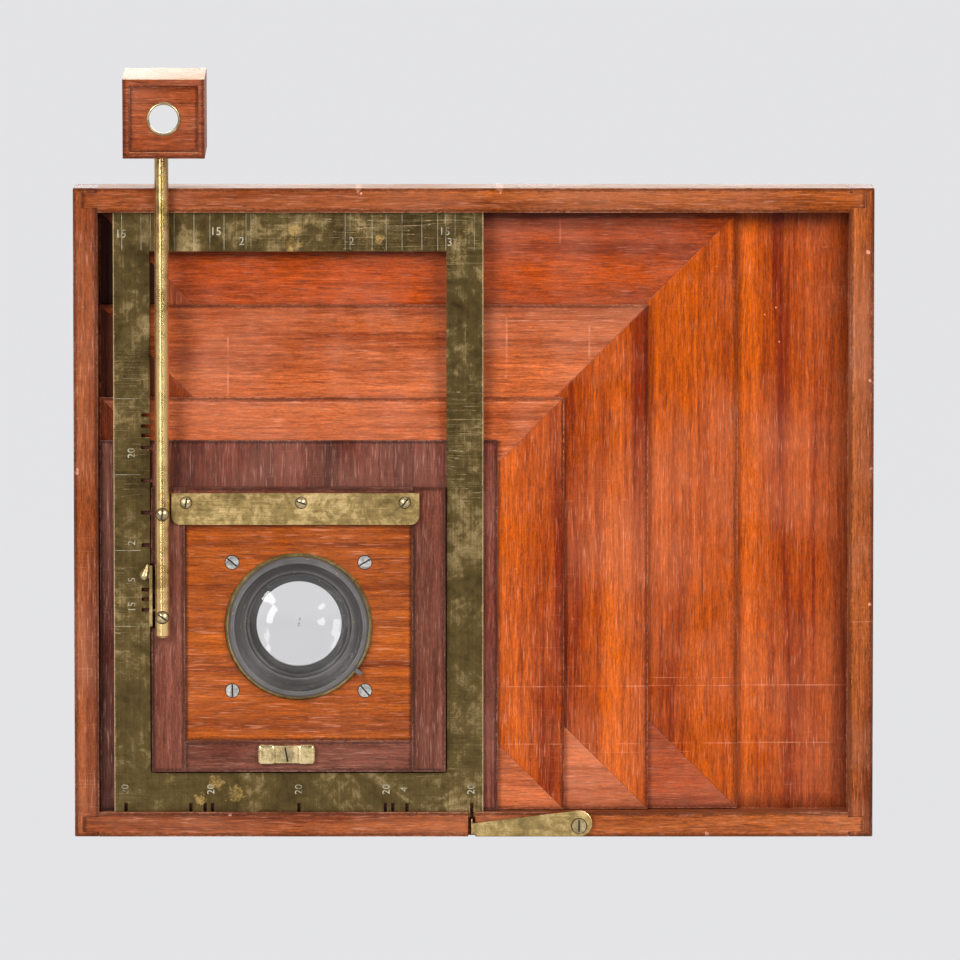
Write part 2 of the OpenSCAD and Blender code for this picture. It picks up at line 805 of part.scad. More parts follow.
module finder_walls() {
  color("#8a3f22") difference() {
    at_finder() {
      for (z = [0, finder_h - finder_t])
        translate([-finder_w/2, -finder_d/2, z]) cube([finder_w, finder_d, finder_t]);
      for (x = [-finder_w/2, finder_w/2 - finder_t])
        translate([x, -finder_d/2, finder_t]) cube([finder_t, finder_d, finder_h - 2*finder_t]);
    }
    translate([rod_x, front_y + rod_depth, finder_z0 - 3])
      cylinder(h = 3 + rod_into_wall + 0.05, r = rod_r + pivot_play);
  }
}

// A panel inset between the finder's walls, with a sight hole
module finder_panel(y0, hole_r) {
  at_finder() difference() {
    translate([-finder_w/2 + finder_t, y0, finder_t])
      cube([finder_w - 2*finder_t, finder_t, finder_h - 2*finder_t]);
    translate([0, y0 - 1, finder_h/2]) rotate([-90, 0, 0]) cylinder(h = finder_t + 2, r = hole_r);
  }
}

module finder_front() {
  color("#8f4526") finder_panel(-finder_d/2, sight_r + 0.6);
}

module finder_back() {
  color("#8a3f22") finder_panel(finder_d/2 - finder_t, sight_r + 5.2);
}

module finder_eyelet() {
  color("#a58a4a") at_finder() translate([0, -finder_d/2, finder_h/2]) rotate([-90, 0, 0])
    rotate_extrude($fn = 64) polygon([
      [sight_r, -0.4], [sight_r + 0.5, -0.8], [eyelet_r - 0.5, -0.7], [eyelet_r, 0],
      [sight_r + 0.55, 0], [sight_r + 0.55, 2.2], [sight_r, 2.2]]);
}

// ---- Catch and latch ----

module catch_spring() {
  color("#a58a4a") {
    block(spring_x0, spring_x0 + spring_t, carrier_front, spring_back, spring_z0, spring_z1);
    block(carrier_x0 - 0.1, carrier_x0 - 0.1 + tooth_l, spring_back - 1.2,
          plate_back - 0.2, tooth_z - tooth_t/2, tooth_z + tooth_t/2);
  }
}

// A knob shaped like a drop, its point upwards, that lies against the spring
module catch_knob() {
  drop_depth = carrier_front + 0.9;
  color("#b59a58") {
    hull() {
      translate([knob_x, front_y + drop_depth, knob_z]) sphere(r = knob_r, $fn = 32);
      translate([spring_x0 - 0.7, front_y + drop_depth, knob_z + knob_l - knob_r - 0.6])
        sphere(r = 0.6, $fn = 24);
    }
    block(knob_x, spring_x0, carrier_front + 0.1, spring_back - 0.5, knob_z - 0.8, knob_z + 0.8);
  }
}

// The latch lever, seen from the front: a tapered bar with a round end, and a blade behind
// its tip that stands in the slit
module latch_lever() {
  tip_x = notch_x + slit_w/2 + 0.3;
  tip_z0 = 0.4;
  tip_z1 = 5.9;
  end_r = 5.4;
  end_z = latch_z + 1;
  d1 = -washer_t - pivot_gap;
  d0 = d1 - sheet_t;
  color("#a08a50") difference() {
    union() {
      plate(d0, d1) {
        polygon([[tip_x, tip_z0], [tip_x, tip_z1], [latch_x - 1.2, end_z + end_r - 0.15],
                 [latch_x, end_z], [latch_x, end_z - end_r]]);
        translate([latch_x, end_z]) circle(r = end_r);
      }
      block(notch_x - blade_t/2, notch_x + blade_t/2, d0, plate_back - 0.2, 1.2, blade_top);
      block(notch_x - blade_t/2, tip_x + tiny, d0, d1, 1.2, tip_z1);
    }
    rod_y(latch_x, latch_z, d0 - 1, d1 + 1, latch_screw_size[2] + pivot_play);
  }
}

module latch_washer() {
  color("#8f7c46") difference() {
    rod_y(latch_x, latch_z, -washer_t, 0, 4.2);
    rod_y(latch_x, latch_z, -washer_t - 1, 1, latch_screw_size[2] + pivot_play);
  }
}

module latch_screw() {
  stack = washer_t + sheet_t + 2*pivot_gap;
  color("#a08a50") screw(latch_x, latch_z, -stack, latch_screw_size + [0, 0, 0, stack - 0.2], 90);
}

// ---- Shell and bed ----

module shell_left_wall() {
  color("#8a3f22") block(-shell_x, -shell_x + wall_t, box_d, shell_end, bed_t, shell_z1);
}

// The right wall, with the slot that the clamp screw slides along
module shell_right_wall() {
  color("#8a3f22") difference() {
    block(shell_x - wall_t, shell_x, box_d, shell_end, bed_t, shell_z1);
    block(shell_x - wall_t - 1, shell_x + 1, clamp_y - clamp_stem_r - slide_gap, shell_end + 1,
          clamp_z - clamp_slot_h/2, clamp_z + clamp_slot_h/2);
  }
}

module shell_top_wall() {
  color("#8f4526") block(-shell_x + wall_t, shell_x - wall_t, box_d, shell_end,
                         shell_z1 - wall_t, shell_z1);
}

bush_r = 9;
bush_l = 9.5;

module bed() {
  color("#7a3820") difference() {
    block(-shell_x, shell_x, box_d, bed_end, 0, bed_t);
    translate([0, 0, -1]) cylinder(h = 1 + bush_l, r = bush_r);
  }
}

module tripod_bush() {
  color("#b59a58") difference() {
    cylinder(h = bush_l, r = bush_r);
    translate([0, 0, -1]) cylinder(h = bush_l + 2, r = bush_bore_r);
  }
}

// ---- Rear box ----

module rear_box_walls() {
  color("#8f4526") {
    for (x = [-rear_x, rear_x - wall_t]) difference() {
      block(x, x + wall_t, rear_front, rear_end, rear_z0 + wall_t, rear_z1 - wall_t);
      if (x > 0)
        translate([rear_x - wall_t + 2, front_y + clamp_y, clamp_z]) rotate([0, 90, 0])
          cylinder(h = wall_t, r = clamp_stem_r + pivot_play);
    }
    for (z = [rear_z0, rear_z1 - wall_t])
      block(-rear_x, rear_x, rear_front, rear_end, z, z + wall_t);
  }
}

// The frame at the back of the rear box, whose opening is the plate's picture area
module plate_frame() {
  x0 = plate_x - frame_open_w/2;
  x1 = plate_x + frame_open_w/2;
  z0 = plate_z - frame_open_h/2;
  z1 = plate_z + frame_open_h/2;
  color("#8a3f22") difference() {
    union() {
      block(-rear_x, x0, rear_end, plate_plane, rear_z0, rear_z1);
      block(x1, rear_x, rear_end, plate_plane, rear_z0, rear_z1);
      block(x0, x1, rear_end, plate_plane, rear_z0, z0);
      block(x0, x1, rear_end, plate_plane, z1, rear_z1);
    }
    screw_hole(back_button_x, back_button_z, plate_plane - 7, [0, 0, 1.6, 8]);
  }
}

module clamp_washer() {
  color("#a58a4a") translate([shell_x + 0.1, front_y + clamp_y, clamp_z]) rotate([0, 90, 0])
    difference() {
      cylinder(h = 0.8, r = 7.5);
      translate([0, 0, -1]) cylinder(h = 3, r = clamp_stem_r + pivot_play);
    }
}

// Thumbscrew: a fluted head on a stem that runs through the slot into the rear box
module clamp_screw() {
  head_r = 7;
  head_t = 4.2;
  flutes = 16;
  color("#b59a58") translate([shell_x + 1, front_y + clamp_y, clamp_z]) rotate([0, 90, 0])
    difference() {
      union() {
        cylinder(h = head_t, r = head_r);
        translate([0, 0, -wall_t - 5]) cylinder(h = wall_t + 6, r = clamp_stem_r);
      }
      for (i = [0:flutes - 1]) rotate([0, 0, i*360/flutes])
        translate([head_r + 0.35, 0, -1]) cylinder(h = head_t + 2, r = 0.9);
    }
}

// ---- Ground glass back ----

// Draws its children at each hinge
module at_hinges() {
  for (z = hinge_offsets)
    translate([hinge_x, front_y + hinge_depth, plate_z + z]) children();
}

module hinge_fixed_leaves() {
  leaf_t = 1.2;
  leaf_w = 11;
  reach = hinge_depth - plate_plane;
  whole = 3*hinge_third;
  color("#a58a4a") at_hinges() {
    translate([-hinge_r - 0.4 - leaf_w, -reach, -whole/2]) cube([leaf_w, leaf_t, whole]);
    cylinder(h = whole, r = hinge_pin_r, center = true);
    for (side = [-1, 1]) translate([0, 0, side*hinge_third]) {
      difference() {
        cylinder(h = hinge_third, r = hinge_r, center = true);
        cylinder(h = hinge_third + 1, r = hinge_pin_r - 0.1, center = true);
      }
      translate([-hinge_r - 0.6, -reach, -hinge_third/2])
        cube([hinge_r - 1, leaf_t, hinge_third]);
      translate([-hinge_r, -reach, -hinge_third/2]) cube([1.1, reach, hinge_third]);
    }
  }
}

module hinge_moving_leaves() {
  third = hinge_third - 2*hinge_gap;
  leaf_x = plate_x - back_w/2 - hinge_x;
  color("#a58a4a") at_hinges() difference() {
    union() {
      cylinder(h = third, r = hinge_r, center = true);
      translate([leaf_x - 1.2, 0, -third/2]) cube([1.2, 6.4, third]);
      translate([0.9, 0.6, -third/2]) cube([leaf_x - 0.9, 1.2, third]);
    }
    cylinder(h = third + 1, r = hinge_pin_r + pivot_play, center = true);
  }
}

// Four members around the glass, rebated for it at the front
module ground_glass_frame() {
  x0 = plate_x - back_w/2;
  x1 = plate_x + back_w/2;
  z0 = plate_z - back_h/2;
  z1 = plate_z + back_h/2;
  d1 = back_front + glass_frame_t;
  color("#7a3820") difference() {
    union() {
      for (x = [x0, x1 - glass_rail]) block(x, x + glass_rail, back_front, d1, z0, z1);
      for (z = [z0, z1 - glass_rail])
        block(x0 + glass_rail, x1 - glass_rail, back_front, d1, z, z + glass_rail);
    }
    block(plate_x - glass_w/2, plate_x + glass_w/2, back_front - 1,
          back_front + ground_glass_t, plate_z - glass_h/2, plate_z + glass_h/2);
  }
}

module ground_glass() {
  color("#e8ecea") block(plate_x - glass_w/2 + 0.2, plate_x + glass_w/2 - 0.2, back_front + 0.1,
                         back_front + ground_glass_t, plate_z - glass_h/2 + 0.2,
                         plate_z + glass_h/2 - 0.2);
}

// The button that turns over the ground glass frame's edge
module back_button() {
  face = back_front + glass_frame_t + 0.3;
  reach = 20;
  color("#c9a860") difference() {
    union() {
      block(back_button_x - 4, back_button_x + 4, face, face + 2, back_button_z - reach/2 - 3,
            back_button_z + reach/2 + 3);
      rod_y(back_button_x, back_button_z, plate_plane + 0.1, face + 1, 3.6);
    }
    rod_y(back_button_x, back_button_z, plate_plane - 1, face + 3, 1.6 + pivot_play);
  }
}

module back_button_screw() {
  face = back_front + glass_frame_t + 2.4;
  color("#b59a58") {
    rod_y(back_button_x, back_button_z, face, face + 1.1, 3);
    rod_y(back_button_x, back_button_z, plate_plane - 6, face + tiny, 1.6);
  }
}

front_left_stile();
front_right_stile();
front_top_rail();
front_bottom_rail();
fixed_frame_stiles();
fixed_frame_rails();
frame_1_stiles();
frame_1_rails();
frame_2_stiles();
frame_2_rails();
frame_2_runner();
frame_3_stiles();
frame_3_rails();
frame_3_runner();
slide_plate();
baffle_panel();
light_tunnel();
carrier_left_stile();
carrier_right_stile();
carrier_top_rail();
carrier_bottom_rail();
lens_board();
lens_board_screws();
lens_flange();
lens_barrel();
retaining_ring();
front_glass();
rear_glass();
cleat();
cleat_screws();
turn_button();
turn_button_screw();
finder_rod();
finder_rod_screws();
finder_walls();
finder_front();
finder_back();
finder_eyelet();
catch_spring();
catch_knob();
latch_lever();
latch_washer();
latch_screw();
shell_left_wall();
shell_right_wall();
shell_top_wall();
bed();
tripod_bush();
rear_box_walls();
plate_frame();
clamp_washer();
clamp_screw();
hinge_fixed_leaves();
hinge_moving_leaves();
ground_glass_frame();
ground_glass();
back_button();
back_button_screw();
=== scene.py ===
"""Looks of the multiplying view camera: wood, brass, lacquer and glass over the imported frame."""

import math

import bmesh
import bpy
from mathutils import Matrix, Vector


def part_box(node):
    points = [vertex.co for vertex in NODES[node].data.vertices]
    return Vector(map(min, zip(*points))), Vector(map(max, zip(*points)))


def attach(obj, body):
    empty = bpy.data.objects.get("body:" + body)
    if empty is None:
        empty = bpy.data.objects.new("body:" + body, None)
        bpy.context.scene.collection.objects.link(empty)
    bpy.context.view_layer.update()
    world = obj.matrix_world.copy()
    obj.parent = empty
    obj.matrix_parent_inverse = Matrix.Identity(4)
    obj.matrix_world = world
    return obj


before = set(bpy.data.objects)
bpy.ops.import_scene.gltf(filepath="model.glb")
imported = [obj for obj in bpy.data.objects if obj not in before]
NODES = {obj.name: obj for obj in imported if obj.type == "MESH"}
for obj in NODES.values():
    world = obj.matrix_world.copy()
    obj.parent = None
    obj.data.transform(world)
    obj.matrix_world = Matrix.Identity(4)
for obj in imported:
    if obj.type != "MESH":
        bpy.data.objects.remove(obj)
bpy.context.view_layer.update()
MM = 0.001


# ---------------------------------------------------------------- node helpers

class Tree:
    """Short calls that build a material's node tree."""

    def __init__(self, name):
        self.material = bpy.data.materials.new(name)
        self.material.use_nodes = True
        self.nodes = self.material.node_tree.nodes
        self.links = self.material.node_tree.links
        self.nodes.clear()
        self.output = self.nodes.new("ShaderNodeOutputMaterial")

    def node(self, kind, inputs=None, **settings):
        made = self.nodes.new(kind)
        for key, value in settings.items():
            setattr(made, key, value)
        for key, value in (inputs or {}).items():
            self.put(made.inputs[key], value)
        return made

    def put(self, socket, value):
        if isinstance(value, bpy.types.NodeSocket):
            self.links.new(value, socket)
        else:
            socket.default_value = value

    def math(self, operation, a, b=0.0, c=0.0, clamp=False):
        made = self.node("ShaderNodeMath", operation=operation, use_clamp=clamp)
        for socket, value in zip(made.inputs, (a, b, c)):
            self.put(socket, value)
        return made.outputs[0]

    def mix(self, factor, a, b, blend="MIX"):
        made = self.node("ShaderNodeMix", data_type="RGBA", blend_type=blend)
        self.put(made.inputs["Factor"], factor)
        self.put(made.inputs["A"], a)
        self.put(made.inputs["B"], b)
        return made.outputs["Result"]

    def ramp(self, value, stops):
        made = self.node("ShaderNodeValToRGB", {"Fac": value})
        elements = made.color_ramp.elements
        while len(elements) < len(stops):
            elements.new(0.5)
        for element, (place, colour) in zip(elements, stops):
            element.position = place
            element.color = colour if len(colour) == 4 else (*colour, 1)
        return made.outputs["Color"]

    def span(self, value, low, high, to_low=0.0, to_high=1.0):
        made = self.node("ShaderNodeMapRange", {
            "Value": value, "From Min": low, "From Max": high, "To Min": to_low,
            "To Max": to_high})
        made.clamp = True
        return made.outputs["Result"]

    def place(self, scale=(1, 1, 1), turn=(0, 0, 0), shift=(0, 0, 0)):
        coords = self.node("ShaderNodeTexCoord").outputs["Object"]
        return self.node("ShaderNodeMapping", {
            "Vector": coords, "Scale": scale, "Rotation": turn,
            "Location": shift}).outputs["Vector"]

    def parts(self, kind):
        """The three parts of an object's own coordinates or normal."""
        own = self.node("ShaderNodeTexCoord").outputs[kind]
        return self.node("ShaderNodeSeparateXYZ", {0: own}).outputs

    def noise(self, vector, scale=1.0, detail=3.0, roughness=0.5, distortion=0.0):
        return self.node("ShaderNodeTexNoise", {
            "Vector": vector, "Scale": scale, "Detail": detail, "Roughness": roughness,
            "Distortion": distortion}).outputs["Fac"]

    def bump(self, height, strength, distance, normal=None):
        made = self.node("ShaderNodeBump", {
            "Height": height, "Strength": strength, "Distance": distance})
        if normal is not None:
            self.put(made.inputs["Normal"], normal)
        return made.outputs["Normal"]

    def finish(self, shader):
        self.links.new(shader, self.output.inputs["Surface"])
        return self.material


def scratches(t, seed, density, length=18.0, width=900.0, turns=(20, 75, -40, -78)):
    """Thin pale lines at several angles: narrow crests of long stretched noise, broken up."""
    total = None
    for i, turn in enumerate(turns):
        lines = t.noise(t.place((length, length, width), (0, math.radians(turn), 0),
                                (seed + i, i * 2.0, seed * 0.7)), 1.0, 0.0)
        crest = t.math("ABSOLUTE", t.math("SUBTRACT", lines, 0.5))
        thin = t.span(crest, 0.0, 0.004 * density, 1.0, 0.0)
        patch = t.noise(t.place((9, 9, 9), (0, 0, 0), (seed * 3.0, i + 4.0, 0)), 1.0, 2.0)
        thin = t.math("MULTIPLY", thin, t.span(patch, 0.56, 0.66))
        total = thin if total is None else t.math("MAXIMUM", total, thin)
    return total


def edge_distance(t, node_name):
    """Distance in mm to the nearest side of a node's own box, seen from the front."""
    low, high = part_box(node_name)
    place = t.parts("Object")
    nearest = None
    for axis in (0, 2):
        value = place[axis]
        for gap in (t.math("SUBTRACT", value, low[axis]), t.math("SUBTRACT", high[axis], value)):
            nearest = gap if nearest is None else t.math("MINIMUM", nearest, gap)
    return t.math("MULTIPLY", nearest, 1000.0)


def front_plane(t):
    """The rest coordinates seen from the front, x and z, in mm."""
    place = t.parts("Object")
    return [t.math("MULTIPLY", place[axis], 1000.0) for axis in (0, 2)]


def strongest(t, masks):
    """The greatest of several masks."""
    total = masks[0]
    for mask in masks[1:]:
        total = t.math("MAXIMUM", total, mask)
    return total


def away_from(t, x, z):
    """Distance in mm from a line that runs straight back at x and z."""
    own_x, own_z = front_plane(t)
    dx, dz = t.math("SUBTRACT", own_x, x), t.math("SUBTRACT", own_z, z)
    return t.math("SQRT", t.math("ADD", t.math("MULTIPLY", dx, dx),
                                 t.math("MULTIPLY", dz, dz)))


def spots(t, places):
    """Ragged spots of the given radius about x and z."""
    rag = t.noise(t.place((330, 330, 330)), 1.0, 4.0, 0.7)
    return strongest(t, [t.span(t.math("ADD", away_from(t, x, z),
                                       t.span(rag, 0.25, 0.75, -0.9 * r, 0.9 * r)),
                                0.75 * r, r, 1.0, 0.0) for x, z, r in places])


def rings(t, places, width=0.3):
    """Dark rings of radius r about x and z, around the screw heads."""
    masks = []
    for x, z, r in places:
        off = t.math("ABSOLUTE", t.math("SUBTRACT", away_from(t, x, z), r))
        masks.append(t.span(off, 0.4 * width, width, 1.0, 0.0))
    return strongest(t, masks)


def rules(t, lines):
    """Rub marks: straight lines at a fixed x or z, between two ends, of the given width."""
    plane = front_plane(t)
    broken = t.span(t.noise(t.place((90, 90, 90)), 1.0, 4.0, 0.7), 0.40, 0.60, 0.0, 1.0)
    masks = []
    for axis, value, low, high, width in lines:
        off = t.math("ABSOLUTE", t.math("SUBTRACT", plane[axis], value))
        near = t.span(off, 0.4 * width, 0.6 * width, 1.0, 0.0)
        other = plane[1 - axis]
        inside = t.math("MULTIPLY", t.span(other, low, low + 2), t.span(other, high - 2, high,
                                                                       1.0, 0.0))
        masks.append(t.math("MULTIPLY", near, inside))
    return t.math("MULTIPLY", strongest(t, masks), broken)


# ---------------------------------------------------------------- materials

def mahogany(name, deep, light, grain="Z", seed=0.0, haze=0.3, rough=0.36, worn=0.4,
             ribbon=0.55, dash=0.5, edged=None, chips=(), rubs=(), screws=(), painted_shade_left=None,
             gloss=0.14, shade_reach=1.7, top=0.0):
    """Polished mahogany: ribbons and streaks along the grain, filled pores, bloom, scratches."""
    t = Tree(name)
    axis = {"X": (1, 0, 0), "Y": (0, 1, 0), "Z": (0, 0, 1)}[grain]
    shift = (seed * 1.7, seed * 0.9, seed * 2.3)

    def along(length, width):
        """Noise whose cells are so many mm long and wide, its long side on the grain."""
        scale = [1000 / length if on else 1000 / width for on in axis]
        return t.place(scale, (0, 0, 0), shift)

    broad = t.noise(along(420, 17), 1.0, 2.0, 0.5, 0.3)
    streak = t.noise(along(90, 2.6), 1.0, 4.0, 0.62, 0.3)
    fleck = t.noise(along(9, 0.7), 1.0, 3.0, 0.7)
    speck = t.noise(along(1.6, 0.5), 1.0, 2.0, 0.6)
    dark_pore = t.span(t.noise(along(7.5, 0.75), 1.0, 1.0, 0.6), 0.57, 0.70)
    pale_pore = t.span(t.noise(along(9, 0.62), 1.0, 1.0, 0.6), 0.60, 0.72)
    cloud = t.noise(t.place((19, 19, 19), (0, 0, 0), shift), 1.0, 5.0, 0.62)
    tone = t.math("ADD", t.math("MULTIPLY", broad, ribbon),
                  t.math("MULTIPLY", streak, 1 - ribbon))
    middle = tuple((a + b) * 0.5 for a, b in zip(deep, light))
    base = t.ramp(tone, [(0.36, deep), (0.5, middle), (0.64, light)])
    shade = t.math("MULTIPLY", t.span(fleck, 0.28, 0.72, 0.56, 1.42),
                   t.span(speck, 0.28, 0.72, 0.72, 1.25))
    base = t.mix(1.0, base, t.node("ShaderNodeCombineColor", {
        "Red": shade, "Green": shade, "Blue": shade}).outputs[0], "MULTIPLY")
    base = t.mix(t.math("MULTIPLY", dark_pore, 0.8 * dash), base,
                 (*[c * 0.3 for c in deep], 1))
    bloom = tuple(c * 0.55 + g for c, g in zip(light, (0.20, 0.11, 0.08)))
    patch = t.math("MULTIPLY", t.span(cloud, 0.40, 0.68), t.span(streak, 0.25, 0.65, 0.5, 1.1))
    base = t.mix(t.math("MULTIPLY", patch, haze, clamp=True), base, (*bloom, 1))
    pale = t.math("MULTIPLY", pale_pore, t.span(cloud, 0.35, 0.6, 0.35, 1.0))
    base = t.mix(t.math("MULTIPLY", pale, 0.75 * dash), base,
                 (*[min(1, c * 1.5 + 0.03) for c in bloom], 1))
    line = t.math("MULTIPLY", scratches(t, seed, 1.0), worn)
    base = t.mix(line, base, (*[min(1, c * 1.4 + 0.04) for c in bloom], 1))
    pale_wood = (*[min(1, c * 1.5 + 0.05) for c in bloom], 1)
    if rubs:
        base = t.mix(t.math("MULTIPLY", rules(t, rubs), 0.38), base, pale_wood)
    if chips:
        base = t.mix(t.math("MULTIPLY", spots(t, chips), 0.85), base, pale_wood)
    if screws:
        base = t.mix(t.math("MULTIPLY", rings(t, screws), 0.8), base, (0.01, 0.006, 0.004, 1))
    # Painted shade: the frame grows darker towards its left side, deep in the box, most on the
    # frames furthest back.
    if painted_shade_left:
        low, high, depth = painted_shade_left
        base = t.mix(t.span(front_plane(t)[0], low, high, depth, 0.0), base,
                     (0.012, 0.005, 0.004, 1))
    if edged:
        reach = t.math("ADD", edge_distance(t, edged), t.span(speck, 0.3, 0.7, -0.35, 0.35))
        across = t.parts("Normal")[1]
        facing = t.span(t.math("ABSOLUTE", across), 0.1, 0.4)
        # Painted shade with some dirt: a dark band along the edges of the front and back faces,
        # where the frame in front casts its shadow; a larger reach widens it into a broad painted
        # shadow near the box's sides and under its rails.
        dirt_and_painted_shade = t.math("MAXIMUM", t.span(reach, 0.3, 1.7, 0.72, 0.0),
                       t.span(reach, 1.0, shade_reach, 0.55, 0.0))
        dirt_and_painted_shade = t.math("MULTIPLY", dirt_and_painted_shade, facing)
        base = t.mix(dirt_and_painted_shade, base, (*[c * 0.22 for c in deep], 1))
        rubbed = t.math("MULTIPLY", t.span(reach, 0.1, 0.4, 1.0, 0.0),
                        t.span(cloud, 0.42, 0.58, 0.1, 0.8))
        rubbed = t.math("MULTIPLY", rubbed, facing)
        base = t.mix(rubbed, base, (*bloom, 1))
    if top:
        # Painted light: faces that look up are mixed toward a pale tone, as if lit from above.
        up = t.parts("Normal")[2]
        base = t.mix(t.math("MULTIPLY", t.span(up, 0.5, 0.9), top), base, (0.80, 0.50, 0.30, 1))
    roughness = t.span(cloud, 0.3, 0.7, rough - 0.08, rough + 0.14)
    height = t.math("SUBTRACT", t.math("MULTIPLY", fleck, 0.5), dark_pore)
    shader = t.node("ShaderNodeBsdfPrincipled", {
        "Base Color": base, "Roughness": roughness, "Specular IOR Level": gloss,
        "Normal": t.bump(height, 0.35, 0.00014)})
    return t.finish(shader.outputs[0])


def brass(name, dull, gold, dirt_and_painted_shade, seed=0.0, rough=0.34, gilt=0.5, dirt=0.4, scratch=0.5,
          cell=24.0, grain=None, edged=None, golden=(), screws=(), sheen=0.3):
    """Brass under patina: dull metal, rubbed golden patches, dark specks, fine scratches."""
    t = Tree(name)
    shift = (seed * 1.3, seed * 0.6, seed * 1.9)
    size = 1000 / cell
    wide = t.noise(t.place((size,) * 3, (0, 0, 0), shift), 1.0, 6.0, 0.68, 0.8)
    fine = t.noise(t.place((size * 6,) * 3, (0, 0, 0), shift), 1.0, 5.0, 0.7, 0.5)
    dust = t.noise(t.place((1500,) * 3, (0, 0, 0), shift), 1.0, 2.0, 0.6)
    brushed = t.noise(t.place(grain or (60, 60, 1400), (0, 0, 0), shift), 1.0, 2.0, 0.6)
    tone = t.math("ADD", t.math("MULTIPLY", wide, 0.6), t.math("MULTIPLY", fine, 0.4))
    tone = t.math("ADD", tone, t.math("MULTIPLY", t.math("SUBTRACT", brushed, 0.5), 0.12))
    rub = t.span(tone, 0.62 - 0.22 * gilt, 0.74 - 0.22 * gilt)
    base = t.ramp(tone, [(0.36, tuple(c * 0.5 for c in dull)), (0.52, dull),
                         (0.66, tuple(c * 1.3 for c in dull))])
    base = t.mix(t.math("MULTIPLY", rub, 0.8), base, (*gold, 1))
    stain = t.math("MULTIPLY", t.span(t.math("ADD", t.math("MULTIPLY", fine, 0.7),
                                             t.math("MULTIPLY", dust, 0.3)), 0.55, 0.64), dirt)
    base = t.mix(stain, base, (*dirt_and_painted_shade, 1))
    line = t.math("MULTIPLY", scratches(t, seed + 2.0, 1.6, 25.0, 1300.0, (8, 62, -30, -70, 88)),
                  scratch)
    bright = tuple(min(1, c * 1.2 + 0.05) for c in gold)
    base = t.mix(line, base, (*bright, 1))
    if golden:
        rust = t.math("MULTIPLY", spots(t, golden), t.span(dust, 0.35, 0.6, 0.15, 0.9))
        base = t.mix(t.math("MULTIPLY", rust, t.span(fine, 0.4, 0.55, 0.3, 1.0)), base,
                     (gold[0] * 1.2, gold[1] * 1.05, gold[2] * 0.7, 1))
    if screws:
        base = t.mix(t.math("MULTIPLY", rings(t, screws), 0.85), base, (0.02, 0.013, 0.006, 1))
    if edged:
        reach = t.math("ADD", edge_distance(t, edged), t.span(dust, 0.3, 0.7, -0.2, 0.2))
        base = t.mix(t.span(reach, 0.25, 0.55, 0.8, 0.0), base, (*bright, 1))
    roughness = t.math("ADD", t.span(tone, 0.35, 0.7, rough - 0.04, rough + 0.10),
                       t.math("MULTIPLY", stain, 0.2))
    height = t.math("ADD", t.math("MULTIPLY", fine, 0.5), t.math("MULTIPLY", line, -0.7))
    shader = t.node("ShaderNodeBsdfPrincipled", {
        "Base Color": base, "Roughness": roughness, "Metallic": 0.9,
        "Specular IOR Level": 0.3, "Normal": t.bump(height, sheen, 0.0001)})
    return t.finish(shader.outputs[0])


def lacquer(name, colour, rough, worn_colour, axis, seed=0.0):
    """Black lacquer over turned metal, with brass showing where it has chipped."""
    t = Tree(name)
    turned = t.noise(t.node("ShaderNodeCombineXYZ", {0: away_from(t, *axis)}).outputs[0], 2.6,
                     2.0, 0.6)
    cloud = t.noise(t.place((60, 60, 60), (0, 0, 0), (seed, 0, 0)), 1.0, 5.0, 0.7)
    chips = t.span(t.noise(t.place((420, 420, 420)), 1.0, 3.0, 0.7), 0.66, 0.70)
    base = t.mix(t.span(cloud, 0.3, 0.7), (*colour, 1), (*[c * 1.9 + 0.01 for c in colour], 1))
    base = t.mix(chips, base, (*worn_colour, 1))
    # Painted sheen: grey along the turned rings, standing in for light caught by the lathe
    # grooves.
    painted_ring_sheen = t.math("MULTIPLY", t.span(turned, 0.50, 0.62), t.span(cloud, 0.35, 0.6, 0.2, 0.7))
    base = t.mix(painted_ring_sheen, base, (0.20, 0.18, 0.165, 1))
    shader = t.node("ShaderNodeBsdfPrincipled", {
        "Base Color": base, "Roughness": t.span(cloud, 0.3, 0.7, rough, rough + 0.15),
        "Specular IOR Level": 0.9, "Coat Weight": 0.4, "Coat Roughness": 0.25,
        "Normal": t.bump(turned, 0.35, 0.0003)})
    return t.finish(shader.outputs[0])


def clear_glass(name):
    """Lens glass that bends the view only a little, with the gloss of crown glass."""
    t = Tree(name)
    dust = t.noise(t.place((900, 900, 900)), 1.0, 2.0)
    through = t.node("ShaderNodeBsdfRefraction", {
        "Color": (0.99, 0.99, 0.99, 1), "Roughness": 0.0, "IOR": 1.2})
    gloss = t.node("ShaderNodeBsdfGlossy", {
        "Color": (1, 1, 1, 1), "Roughness": t.span(dust, 0.7, 0.8, 0.0, 0.1)})
    edge = t.node("ShaderNodeFresnel", {"IOR": 1.4}).outputs[0]
    both = t.node("ShaderNodeMixShader", {0: edge, 1: through.outputs[0], 2: gloss.outputs[0]})
    return t.finish(both.outputs[0])


def matt_black(name):
    t = Tree(name)
    dust = t.noise(t.place((300, 300, 300)), 1.0, 3.0)
    base = t.mix(t.span(dust, 0.4, 0.7), (0.010, 0.009, 0.008, 1), (0.03, 0.026, 0.024, 1))
    shader = t.node("ShaderNodeBsdfPrincipled", {
        "Base Color": base, "Roughness": 0.8, "Normal": t.bump(dust, 0.2, 0.0001)})
    return t.finish(shader.outputs[0])


def ground(name):
    """Ground glass: lets light through and scatters it."""
    t = Tree(name)
    grain = t.noise(t.place((4000, 4000, 4000)), 1.0, 2.0)
    scatter = t.node("ShaderNodeBsdfRefraction", {
        "Color": (1, 1, 1, 1), "Roughness": 0.35, "IOR": 1.2,
        "Normal": t.bump(grain, 0.15, 0.00005)})
    gloss = t.node("ShaderNodeBsdfPrincipled", {
        "Base Color": (0.75, 0.77, 0.78, 1), "Roughness": t.span(grain, 0.3, 0.7, 0.3, 0.5)})
    both = t.node("ShaderNodeMixShader", {0: 0.05, 1: scatter.outputs[0], 2: gloss.outputs[0]})
    return t.finish(both.outputs[0])


